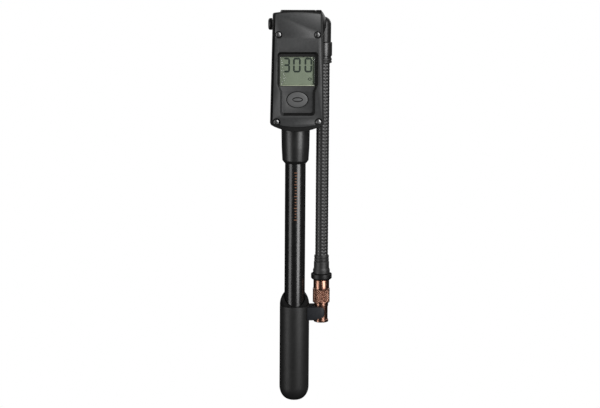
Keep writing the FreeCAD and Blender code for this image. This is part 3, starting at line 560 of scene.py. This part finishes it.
def make_case():
    """The gauge's rear shell, open to the front."""
    outside = shield(half_top=15.8, half_low=17.3, top=259.4, shoulder=258.3,
                     corner=187.0, bottom=182.4, steps=14)
    inside = shield(half_top=13.4, half_low=15.0, top=258.0, shoulder=257.2,
                    corner=189.4, bottom=186.9, steps=12)
    shell = prism("gauge_shell", corner_round(outside, (1.6, 1.6, 1.3, 1.3)), 9.6, 15.75)
    combine(shell, [prism("cavity", inside, 11.1, 18)])
    bevel(shell, 0.9, 4, 60)
    show(shell, "head", "case_moulding", ["gauge_case"], 40)


def stepped(narrow, wide, foot, neck, shoulder, top):
    """An outline of the face plate's recess: narrow round the key and wide round the window."""
    return [(-narrow, foot), (narrow, foot), (narrow, neck), (wide, shoulder), (wide, top), (-wide, top),
            (-wide, shoulder), (-narrow, neck)]


def make_plate():
    """The face plate: its top leans back above a crease, and its recess holds the window and the key."""
    face, floor, crease, lean = 17.5, 14.9, 242.5, math.radians(5.0)
    outline = shield(half_top=14.4, half_low=16.0, top=259.0, shoulder=258.0,
                     corner=188.2, bottom=185.8, steps=24)
    plate = prism("face_panel", corner_round(outline, (0.4, 0.4, 2.2, 2.2)), 15.9, face)
    slope = prism("slope", oblong(-30, crease, 30, 275), face, 22)
    for vertex in slope.data.vertices:
        height = vertex.co.z / MM + TIP
        if height > crease + 1:
            vertex.co.y += math.tan(lean) * (height - crease) * MM
    combine(plate, [slope])
    mouth = stepped(narrow=11.3, wide=13.1, foot=193.0, neck=208.0, shoulder=213.2, top=233.9)
    well = stepped(narrow=9.8, wide=11.9, foot=194.6, neck=208.4, shoulder=212.6, top=232.4)
    mouth_radii = [2.2, 2.2, 1.5, 1.5, 2.0, 2.0, 1.5, 1.5]
    well_radii = [1.2, 1.2, 1.2, 1.2, 1.6, 1.6, 1.2, 1.2]
    tub = prism("tub", rounded([(x * 1.05, z) for x, z in mouth], mouth_radii), floor - 1.0, 16.2)
    combine(plate, [tub], "UNION")
    combine(plate, [funnel("recess", rounded(well, well_radii), rounded(mouth, mouth_radii), floor, face, 3)])
    window = rounded(oblong(-11.13, 211.97, 11.13, 230.63), 0.8)
    cutters = [prism("window", window, 13, 15.5), prism("key_hole", ellipse(7.1, 5.4, KEY_HEIGHT), 13, 15.5)]
    for side in (-1, 1):
        for (x, height), radius in ((HIGH_SCREW, 2.35), (LOW_SCREW, 2.7)):
            cutters.append(prism("sink", ellipse(radius, radius, height, 48, side * x), 16.2, 20))
        for x, height in (HIGH_SCREW, LOW_SCREW):
            cutters.append(prism("hole", ellipse(1, 1, height, 24, side * x), 15, 20))
    combine(plate, cutters)
    bevel(plate, 0.28, 3, 28)
    show(plate, "head", "face_satin", ["face_plate"], 30)
    paint_recess_shade(plate)


def paint_recess_shade(plate):
    """Paints the window's surround, the recess's walls and the screw sinks near-black as painted shade, all
    but the lit lower left wall.
    """
    bm = bmesh.new()
    bm.from_mesh(plate.data)
    everything = bm.verts[:] + bm.edges[:] + bm.faces[:]
    bmesh.ops.bisect_plane(bm, geom=everything, plane_co=at(0, 0, 211.7), plane_no=(0, 0, 1))
    bm.to_mesh(plate.data)
    bm.free()
    # painted shade: the second material is a near-black that stands for the shadow in the recess, round the
    # window and in the screw sinks
    plate.data.materials.append(moulded("recess_painted_shade", grey(0.004), grey(0.006), 0.55, shine=0.25))
    for polygon in plate.data.polygons:
        x, height = polygon.center.x / MM, polygon.center.z / MM + TIP
        depth = -polygon.center.y / MM
        facing = -polygon.normal.y
        in_well = abs(x) < 13.2 and 192.5 < height < 234.2 and 14.95 < depth < 17.3 and facing < 0.9
        from_screw = min(abs(height - HIGH_SCREW[1]), abs(height - LOW_SCREW[1]))
        in_sink = 16.1 < depth < 17.2 and from_screw < 2.8 and abs(x) > 9.5
        lit_wall = x < -8 and height < 211
        surround_shade = height > 211.75 and abs(x) < 12.6 and height < 233.5 and 13.8 < depth < 15.0
        # painted shade: these faces take the near-black material
        if in_sink or surround_shade or (in_well and not lit_wall):
            polygon.material_index = 1


def segment(x, z, long, thick, upright):
    """One bar of a digit, with pointed ends."""
    half, t = long / 2, thick / 2
    shape = [(-half, 0), (-half + t, -t), (half - t, -t), (half, 0), (half - t, t), (-half + t, t)]
    return [(x + (b if upright else a), z + (a if upright else b)) for a, b in shape]


def make_display():
    """The digits and small signs of the display, printed on the cell behind the window."""
    bm = bmesh.new()
    bars = []
    high, low, thick = 229.4, 221.1, 1.15
    middle = (high + low) / 2
    printed, raised = 13.89, 13.96
    for centre, wide, lit in ((-6.9, 4.3, "abcdg"), (-0.4, 5.0, "abcdef"), (7.0, 5.0, "abcdef")):
        arm, tall = wide - 0.9, (high - low) / 2 - 0.25
        out = wide / 2 - 0.6
        places = {
            "a": (centre, high, arm, False),
            "g": (centre, middle, arm, False),
            "d": (centre, low, arm, False),
            "b": (centre + out, middle + (high - low) / 4, tall, True),
            "c": (centre + out, middle - (high - low) / 4, tall, True),
            "f": (centre - out, middle + (high - low) / 4, tall, True),
            "e": (centre - out, middle - (high - low) / 4, tall, True),
        }
        bars += [segment(x, z, long, thick, upright) for x, z, long, upright in (places[k] for k in lit)]
    bars.append(ellipse(0.45, 0.5, 214.2, 16, -9.6))
    for outline in bars:
        base = [bm.verts.new(at(x, printed, z)) for x, z in outline]
        top = [bm.verts.new(at(x, raised, z)) for x, z in outline]
        bm.faces.new(base)
        bm.faces.new(top)
        bridge(bm, base, top)
    outer, inner = ellipse(1.25, 0.95, 216.3, 24, 8.0), ellipse(0.75, 0.5, 216.3, 24, 8.0)
    loops = [[bm.verts.new(at(x, depth, z)) for x, z in line]
             for line, depth in ((outer, printed), (outer, raised), (inner, raised), (inner, printed))]
    for a, b in zip(loops, loops[1:] + loops[:1]):
        bridge(bm, a, b)
    ink = moulded("liquid_crystal", (0.010, 0.018, 0.013), (0.015, 0.024, 0.018), 0.6, shine=0.2)
    show(new_object("digits", closed_mesh(bm, "digits")), "head", "lcd_glass", finish=ink)


def make_window():
    """The clear window, with a painted highlight strip along its lower edge and a painted shadow strip along
    its right edge.
    """
    lens = prism("window_pane", rounded(oblong(-11.1, 212.0, 11.1, 230.6), 0.8), 13.97, 14.95)
    bevel(lens, 0.15, 2)
    show(lens, "head", "clear_lens", ["lcd_lens"])
    # painted highlight: a pale strip that stands for the light caught along the window's lower edge
    highlight_strip = prism("window_highlight_strip", oblong(-10.9, 212.02, 10.9, 212.45), 14.0, 14.93)
    bevel(highlight_strip, 0.1, 2)
    show(highlight_strip, "head", "clear_lens", finish=moulded("painted_edge_highlight", (0.30, 0.33, 0.24), (0.38, 0.41, 0.30), 0.3))
    # painted shadow: a dark green strip that stands for the shade cast by the window's right wall
    shade = prism("window_shadow_strip", oblong(10.35, 212.5, 11.0, 230.5), 14.0, 14.93)
    bevel(shade, 0.1, 2)
    show(shade, "head", "clear_lens",
         finish=moulded("painted_edge_shadow", (0.012, 0.022, 0.012), (0.02, 0.032, 0.02), 0.4))


def dome_oval(name, half_wide, half_high, height, back, edge, crown, rings=10):
    """A closed oval key with a crowned top, standing forward."""
    bm = bmesh.new()
    outer = ellipse(half_wide, half_high, height, 64)
    loops = [[bm.verts.new(at(x, depth, z)) for x, z in outer] for depth in (back, edge)]
    for k in range(1, rings):
        share = math.sin(math.pi / 2 * k / rings)
        lift = edge + (crown - edge) * (1 - (1 - share) ** 2) ** 0.5
        inner = ellipse(half_wide * (1 - share * 0.97), half_high * (1 - share * 0.97), height, 64)
        loops.append([bm.verts.new(at(x, lift, z)) for x, z in inner])
    bm.faces.new(loops[0])
    bm.faces.new(loops[-1])
    for a, b in zip(loops, loops[1:]):
        bridge(bm, a, b)
    return new_object(name, closed_mesh(bm, name))


def make_key():
    """The oval key with a ring-shaped groove, and a flange behind it that closes the gap round it. The
    groove, the key's lowest sides and the flange are painted near-black as shade.
    """
    ring_height = KEY_HEIGHT + 0.1
    key = dome_oval("mode_cap", 6.6, 4.9, KEY_HEIGHT, back=13.8, edge=15.5, crown=15.85)
    groove = prism("groove", ellipse(3.5, 1.6, ring_height, 48), 15.35, 17)
    island = prism("island", ellipse(2.75, 0.9, ring_height, 48), 15.0, 15.8)
    combine(key, [groove])
    combine(key, [island], "UNION")
    bevel(key, 0.12, 2, 40)
    join(key, [prism("key_flange", ellipse(7.5, 5.8, KEY_HEIGHT, 64), 13.5, 13.9)])
    show(key, "mode_key", "button_grey", ["mode_button"], 40)
    # painted shade: the groove and the gap round the key take the near-black rubber to stand for the shadow
    # in them
    key.data.materials.append(LOOK["ring_rubber"])
    for polygon in key.data.polygons:
        x, height = polygon.center.x / MM, polygon.center.z / MM + TIP
        depth = -polygon.center.y / MM
        groove_shade = (x / 3.65) ** 2 + ((height - ring_height) / 1.75) ** 2 < 1 and depth < 15.7
        if groove_shade or depth < 14.2:
            polygon.material_index = 1


def make_face_screws():
    """Four pan-head screws with cross recesses, in one piece as in the CAD."""
    parts = []
    profile = [(0, 11.7), (0.95, 11.7), (0.95, 16.2), (1.75, 16.2), (1.75, 16.65), (1.62, 16.95),
               (1.25, 17.15), (0.6, 17.27), (0, 17.3)]
    for x, z in [(side * x, z) for x, z in (HIGH_SCREW, LOW_SCREW) for side in (-1, 1)]:
        screw = lathe("screw", profile, segments=40, axis="Y", x=x, base=z)
        arms = [prism("arm", oblong(x - a, z - b, x + a, z + b), 16.9, 18)
                for a, b in ((1.05, 0.25), (0.25, 1.05))]
        combine(screw, arms)
        parts.append(screw)
    bm = bmesh.new()
    for part in parts:
        bm.from_mesh(part.data)
        bpy.data.objects.remove(part)
    mesh = bpy.data.meshes.new("panel_screws")
    bm.to_mesh(mesh)
    bm.free()
    show(new_object("panel_screws", mesh), "head", "screw_steel", ["face_screws"], 30)


def make_head():
    """The cast head: column, cross drum, boss and land, melted into one skin."""
    column = lathe("head_casting", rounded([(6.6, 184.0), (8.6, 184.0), (8.6, TIP), (6.6, TIP)], 0),
                   segments=64)
    drum = lathe("drum", rounded([(0, -10.3), (9.1, -10.3), (9.1, 12.6), (0, 12.6)], [0, 0.9, 0.5, 0]),
                 axis="X")
    boss = lathe("boss", rounded([(3.0, -14.1), (5.5, -14.1), (5.5, -9), (3.0, -9)], [0, 0.6, 0, 0]),
                 axis="X")
    land = prism("land", oblong(-8, 190, 8, 245), -2, 9.6)
    join(column, [drum, land, boss])
    melt(column, 0.28, 5)
    for vertex in column.data.vertices:
        vertex.co.y = max(vertex.co.y, -9.6 * MM)
        vertex.co.x = max(min(vertex.co.x, 12.65 * MM), -14.1 * MM)
    show(column, "head", "head_moulding", ["pump_head"], 60)


def make_knob():
    """The bleed valve's domed button, at the left end of the head."""
    profile = rounded([(0, -18.2), (3.8, -18.0), (3.8, -15.5), (1.55, -15.5), (1.55, -16.9), (0, -16.9)],
                      [0, 1.9, 0.35, 0, 0, 0], 9)
    knob = lathe("bleed_cap", profile, axis="X")
    show(knob, "bleed_button", "knob_satin", ["bleed_knob"])


# ---------------------------------------------------------------- barrel and handle


def make_barrel():
    """The gloss tube and the tapered collar at its upper end."""
    collar = rounded([(6.82, 159.9), (7.05, 159.9), (8.6, 161.8), (9.1, 170.4), (9.35, 184.0), (6.55, 184.0),
                      (6.55, 161.0)], [0, 0.1, 0.7, 6, 0.3, 0, 0], 6)
    show(lathe("collar_sleeve", collar, segments=128), "head", "case_moulding", ["barrel_collar"],
         finish=moulded("collar_plastic", grey(0.008), grey(0.011), 0.36))
    tube = rounded([(5.0, 11.0), (BARREL_RADIUS, 11.0), (BARREL_RADIUS, 159.95), (6.5, 160.5), (6.5, 193.0),
                    (5.0, 193.0)], [0.3, 0.4, 0, 0, 0.3, 0.3])
    show(lathe("barrel_tube", tube, segments=128), "head", "barrel_gloss", ["barrel"])


def make_scale():
    """Plain copper-coloured tick marks along the front of the barrel, every fourth one longer."""
    bm = bmesh.new()
    first, step, half_thick = 123.0, 1.95, 0.28
    for k in range(17):
        height = first + k * step
        half = 1.0 if k % 4 == 0 else 0.62
        bent = [(x, math.sqrt(BARREL_RADIUS**2 - x * x)) for x in (-half, -half / 2, 0, half / 2, half)]
        rows = []
        for z in (height - half_thick, height + half_thick):
            for lift in (-0.05, 0.03):
                rows.append([bm.verts.new(at(x - 0.1, y + lift, z)) for x, y in bent])
        order = [rows[0], rows[1], rows[3], rows[2]]
        for a, b in zip(order, order[1:] + order[:1]):
            for i in range(4):
                bm.faces.new((a[i], a[i + 1], b[i + 1], b[i]))
        for end in (0, 4):
            bm.faces.new([row[end] for row in order])
    ink = moulded("copper_print", (0.13, 0.055, 0.028), (0.19, 0.085, 0.045), 0.4)
    show(new_object("barrel_ticks", closed_mesh(bm, "barrel_ticks")), "head", "barrel_gloss", finish=ink)


def make_grip():
    """The long grip, a deep cup with a domed tip."""
    steps = 14
    curve = []
    for k in range(steps + 1):
        a = math.radians(90) * k / steps
        curve.append((3.0 + 6.8 * math.sin(a), 9.2 - 9.2 * math.cos(a)))
    profile = [(2.75, 0.35), (2.95, 0.05)] + curve + rounded(
        [(GRIP_RADIUS, 12), (GRIP_RADIUS, 64.6), (6.85, 64.6), (6.85, 8.5), (1.55, 8.5), (1.55, 3.4),
         (2.75, 3.4)],
        [0, 0.3, 0.1, 0, 0, 0, 0])
    show(lathe("grip_tube", profile, segments=128), "handle", "grip_satin", ["handle_grip"])


def make_hood():
    """The grip's domed mouth, scooped by a slanting cut that is low at the front."""
    foot, dome, scoop, slant = 64.75, 13.6, 72.3, 1.06
    bulge = []
    for k in range(13):
        z = foot + (73.1 - foot) * k / 12
        bulge.append((GRIP_RADIUS - dome + math.sqrt(dome**2 - (z - 64.7) ** 2), z))
    shell = lathe("mouth_hood", bulge + [(6.9, scoop), (7.3, 70.0), (7.5, 68.7), (7.5, foot)], segments=128)
    blade = prism("blade", oblong(-20, 40, 20, 90), 0, 30)
    for vertex in blade.data.vertices:
        if vertex.co.z / MM + TIP < 60:
            vertex.co.z = (scoop - slant * (-vertex.co.y / MM) - TIP) * MM
    back = prism("back_blade", oblong(-20, 0, 20, 30), -30, 0.001)
    for vertex in back.data.vertices:
        low = vertex.co.z / MM + TIP < 15
        vertex.co.z = ((scoop - slant * (-vertex.co.y / MM) if low else 150) - TIP) * MM
    combine(shell, [blade, back])
    bevel(shell, 0.22, 3, 35)
    show(shell, "handle", "grip_satin", ["handle_hood"], 30,
         moulded("hood_plastic", grey(0.003), grey(0.005), 0.5, shine=0.18))


# ---------------------------------------------------------------- swivel, hose and chuck


def make_elbow():
    """The swivel: a crowned hub on the cross axis and a leg down to the hose, melted into one skin."""
    leg_radius, leg_foot = 4.9, 239.0
    hub_radius, hub_back, hub_crown, rise = 9.1, 12.75, 19.6, 3.6
    leg_line = [(2.25, leg_foot), (leg_radius, leg_foot), (leg_radius, TIP), (2.25, TIP)]
    leg = lathe("elbow_body", rounded(leg_line, [0, 0.3, 0, 0]), x=HOSE_X, segments=72)
    crown = []
    for k in range(1, 16):
        a = math.radians(90) * k / 16
        crown.append((leg_radius * math.cos(a), TIP + leg_radius * math.sin(a)))
    ball = lathe("ball", [(0, TIP - 0.1), (leg_radius, TIP - 0.1)] + crown + [(0, TIP + leg_radius)],
                 x=HOSE_X, segments=72)
    bow = (hub_radius**2 + rise**2) / (2 * rise)
    hub_line = [(0, hub_back), (hub_radius, hub_back)]
    for k in range(12):
        r = hub_radius * (1 - k / 12)
        hub_line.append((r, hub_crown - bow + math.sqrt(bow**2 - r * r)))
    hub = lathe("hub", hub_line + [(0, hub_crown)], axis="X", segments=96)
    join(leg, [ball, hub])
    melt(leg, 0.22, 5)
    for vertex in leg.data.vertices:
        vertex.co.x = max(vertex.co.x, hub_back * MM)
        vertex.co.z = max(vertex.co.z, (leg_foot - TIP) * MM)
    show(leg, "swivel", "head_moulding", ["swivel_elbow"], 60)


def make_hose_end():
    """The ferrule that clamps the hose under the elbow, and the two rubber rings under that."""
    ferrule = rounded([(4.18, 228.6), (5.1, 228.6), (5.1, 230.2), (5.65, 230.2), (5.65, 239.0), (2.3, 239.0),
                       (2.3, 237.8), (4.18, 237.8)], [0, 0.15, 0.15, 0.35, 0.35, 0, 0, 0])
    show(lathe("crimp", ferrule, x=HOSE_X), "swivel", "ferrule_black", ["hose_ferrule"])
    relief = rounded([(4.18, 225.6), (5.5, 225.6), (5.5, 226.9), (5.0, 226.95), (5.0, 227.25), (5.5, 227.3),
                      (5.5, 228.6), (4.18, 228.6)], [0, 0.45, 0.45, 0.1, 0.1, 0.45, 0.3, 0])
    show(lathe("relief_rings", relief, x=HOSE_X), "swivel", "relief_rubber", ["strain_relief"])


def make_hose():
    """The braided hose: two sets of yarns that pass over and under each other round the tube.

    The fleck value is highest in the middle of each strand of the set that winds one way, where it is on top.
    """
    carriers, pitch, row_step, yarn_height = 10, 2.2, 0.27, 0.27
    bore, open_radius, clamped_radius = 2.3, 4.0, 3.86
    ferrule_foot, boot_top = 228.4, 98.2
    segments, inner_rows = 112, 56
    length = HOSE_TOP - HOSE_BOTTOM
    rows = int(length / row_step)
    bm = bmesh.new()
    fleck = bm.verts.layers.float.new("fleck")
    loops = []
    for j in range(rows + 1):
        z = HOSE_BOTTOM + length * j / rows
        radius = clamped_radius if z > ferrule_foot or z < boot_top else open_radius
        ring = []
        for k in range(segments):
            turn = k / segments * carriers
            u, v = turn + z / pitch, turn - z / pitch
            over = (math.floor(u) + math.floor(v)) % 2 == 0
            across, along = (u % 1.0, v % 1.0) if over else (v % 1.0, u % 1.0)
            ridge = math.sin(math.pi * across) ** 0.6 * (0.45 + 0.55 * math.sin(math.pi * along))
            r = radius + yarn_height * ridge
            a = 2 * math.pi * k / segments
            vertex = bm.verts.new(at(HOSE_X + r * math.cos(a), r * math.sin(a), z))
            vertex[fleck] = ridge * math.sin(math.pi * along) if over else 0.0
            ring.append(vertex)
        loops.append(ring)
    turns = [2 * math.pi * k / segments for k in range(segments)]
    for j in range(inner_rows + 1):
        z = HOSE_TOP - length * j / inner_rows
        loops.append([bm.verts.new(at(HOSE_X + bore * math.cos(a), bore * math.sin(a), z)) for a in turns])
    for a, b in zip(loops, loops[1:] + loops[:1]):
        bridge(bm, a, b)
    hose = new_object("braided_hose", closed_mesh(bm, "braided_hose"))
    show(hose, None, "hose_braid", ["hose", "hose_root"], 60, braid_material())
    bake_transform(hose)
    return hose


def knurl(radius, turn, height):
    """Two crossed sets of teeth on the band of the sleeve."""
    low, high, pitch, teeth = 66.9, 75.4, 1.5, 22
    if not low <= height <= high or radius < 5.5:
        return radius
    fade = min(1.0, (height - low) / 0.3, (high - height) / 0.3)
    u = turn / (2 * math.pi) * teeth
    a = abs(((u + height / pitch) % 1.0) - 0.5) * 2
    b = abs(((u - height / pitch) % 1.0) - 0.5) * 2
    return radius - 0.45 * fade * (1 - min(1.0, 1.6 * min(a, b)))


def make_boot():
    """The grooved rubber boot and the loose dust ring above the chuck."""
    boot = [(3.45, 85.95), (5.35, 85.95), (5.6, 86.3), (5.6, 88.5), (5.4, 88.9), (5.05, 89.9), (5.05, 93.9),
            (4.85, 94.15), (4.6, 94.4), (4.85, 94.7), (4.88, 96.0), (4.6, 96.25), (4.6, 96.5), (4.85, 96.75),
            (4.85, 97.9), (4.6, 98.35), (4.3, 98.35), (4.3, 94.2), (3.45, 94.2)]
    show(lathe("boot_sleeve", rounded(boot, 0.12, 3), x=HOSE_X), "hose_line", "relief_rubber", ["hose_boot"])
    ring = rounded([(4.65, 82.0), (6.0, 82.0), (6.9, 82.9), (6.9, 85.85), (4.65, 85.85)],
                   [0, 0.25, 0.35, 0.35, 0])
    show(lathe("cap_ring", ring, x=HOSE_X), "hose_line", "ring_rubber", ["dust_ring"])


def make_chuck():
    """The knurled sleeve and the nut that screws over the valve."""
    band, foot, step = 5.65, 66.65, 0.15
    body = [(2.8, 66.4), (5.4, 66.4)] + [(band, foot + step * k) for k in range(60)]
    body += [(band, 75.65), (5.25, 75.9), (5.25, 81.55), (5.05, 81.8), (3.66, 81.8), (3.66, 68.5),
             (2.8, 68.5)]
    sleeve = lathe("knurled_grip", body, x=HOSE_X, segments=240, shape=knurl)
    show(sleeve, "chuck_sleeve", "copper_metal", ["knurled_sleeve"], 50)
    nut = rounded([(3.9, 53.15), (4.85, 53.15), (4.85, 54.7), (4.4, 55.0), (4.4, 63.7), (4.7, 64.0),
                   (4.7, 66.2), (2.7, 66.2), (2.7, 64.45), (1.3, 64.45), (1.3, 62.1), (3.7, 62.1),
                   (3.7, 60.35), (3.9, 60.35)],
                  [0.15, 0.3, 0.3, 0.1, 0.1, 0.15, 0.25, 0, 0, 0, 0, 0, 0, 0])
    show(lathe("chuck_nut_body", nut, x=HOSE_X), "chuck_nut", "copper_metal", ["valve_nut"])


def make_clip():
    """The snap clip: an open C round the chuck on a block from the grip, its end rounded from the front."""
    foot, top, snap_radius, root_radius = 53.0, 64.4, 4.5, 9.83
    plan = [(8.0, -6.4), (17.6, -6.4), (19.0, -6.1), (19.65, -5.2), (19.65, -4.08)]
    for k in range(1, 24):
        a = math.radians(-65.0 - 230 * k / 24)
        plan.append((HOSE_X + snap_radius * math.cos(a), snap_radius * math.sin(a)))
    plan += [(19.65, 4.08), (19.65, 5.2), (19.0, 6.1), (17.6, 6.4), (8.0, 6.4)]
    for k in range(1, 12):
        a = math.radians(40.6 - 81.2 * k / 12)
        plan.append((root_radius * math.cos(a), root_radius * math.sin(a)))
    bm = bmesh.new()
    low = [bm.verts.new(at(x, -y, foot)) for x, y in plan]
    high = [bm.verts.new(at(x, -y, top)) for x, y in plan]
    bm.faces.new(low)
    bm.faces.new(reversed(high))
    bridge(bm, high, low)
    clip = new_object("snap_clip", closed_mesh(bm, "snap_clip"))
    front = rounded([(0, 55.2), (12.0, 55.2), (16.0, 56.3), (19.7, 57.2), (19.7, 63.9), (0, 63.9)],
                    [0, 2, 2, 2.6, 2.9, 0], 8)
    combine(clip, [prism("front_outline", front, -8, 8)], "INTERSECT")
    bevel(clip, 0.35, 3, 30)
    show(clip, "handle", "clip_slate", ["hose_clip"], 35)


make_studio()
dress_cad()
make_case()
make_plate()
make_display()
make_window()
make_key()
make_face_screws()
make_head()
make_knob()
make_barrel()
make_scale()
make_grip()
make_hood()
make_elbow()
make_hose_end()
hose = make_hose()
make_boot()
make_chuck()
make_clip()
